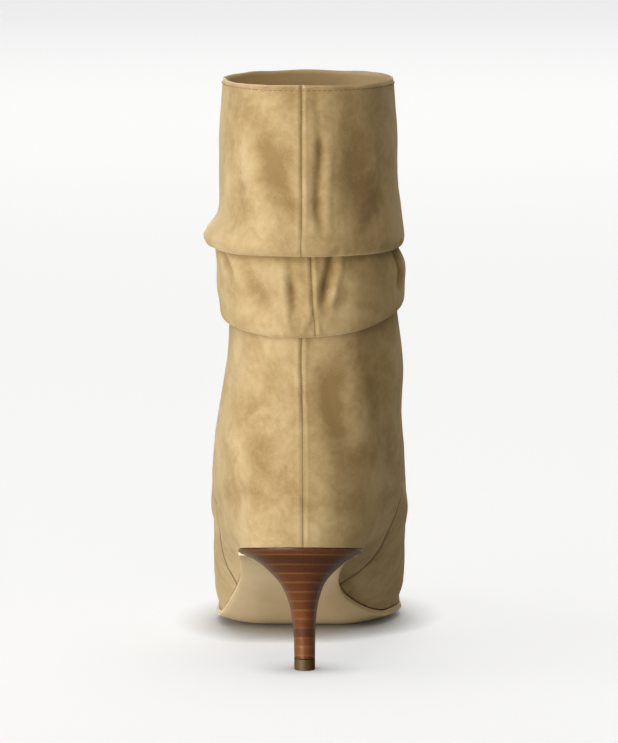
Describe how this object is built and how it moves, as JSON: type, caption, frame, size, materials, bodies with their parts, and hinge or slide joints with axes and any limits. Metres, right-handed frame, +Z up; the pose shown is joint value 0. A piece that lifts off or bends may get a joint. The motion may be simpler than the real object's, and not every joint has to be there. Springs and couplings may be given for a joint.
{
  "type": "slouch boot",
  "caption": "Pull-on suede ankle boot with a slouched shaft, pointed toe, thin leather sole and stacked kitten heel.",
  "frame": {"origin": "middle of the heel tip's bottom face, on the floor", "axes": "+Y to the toe, +X to the inner (medial) side of the left foot, +Z up"},
  "size_m": [0.0871, 0.253, 0.2548],
  "materials": {
    "suede": "sand suede with a soft nap",
    "insole_leather": "smooth tan lining leather",
    "sole_leather": "pale golden sole leather, satin",
    "stacked_leather": "polished stacked leather, reddish brown",
    "tip_rubber": "olive brown top lift"
  },
  "bodies": {
    "root": {"upper": "suede", "insole": "insole_leather", "outsole": "sole_leather", "heel": "stacked_leather", "heel_tip": "tip_rubber"}
  },
  "joints": []
}
